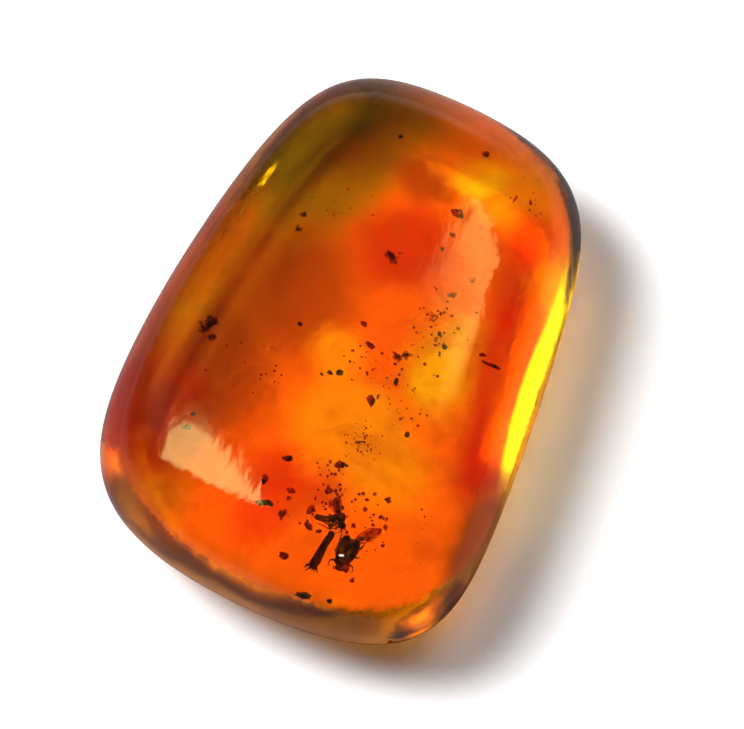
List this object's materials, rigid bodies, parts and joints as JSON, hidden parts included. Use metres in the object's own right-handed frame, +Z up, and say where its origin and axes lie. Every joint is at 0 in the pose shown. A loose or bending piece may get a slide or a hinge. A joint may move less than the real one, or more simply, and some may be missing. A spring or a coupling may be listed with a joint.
{
  "type": "amber fossil specimen",
  "caption": "Polished tapering piece of clear orange amber with a domed top and a flat base, to lie on a table or in a display tray; fossil bits sealed inside.",
  "frame": {"origin": "on the flat base, below the middle of the stone's bounding box", "axes": "+Y along the stone from its wide end to its narrow end, +X to the right, +Z up through the domed crown"},
  "size_m": [0.0182, 0.0269, 0.009],
  "materials": {
    "amber": "polished clear amber, yellow where thin and deep orange-red where thick",
    "insect": "dark glossy brown shell of the fossil insects",
    "bark": "charred red-brown bark, twig and leaf crumbs",
    "grit": "dull olive-black grains and dust"
  },
  "bodies": {
    "root": {"amber_stone": "amber"}
  },
  "joints": []
}
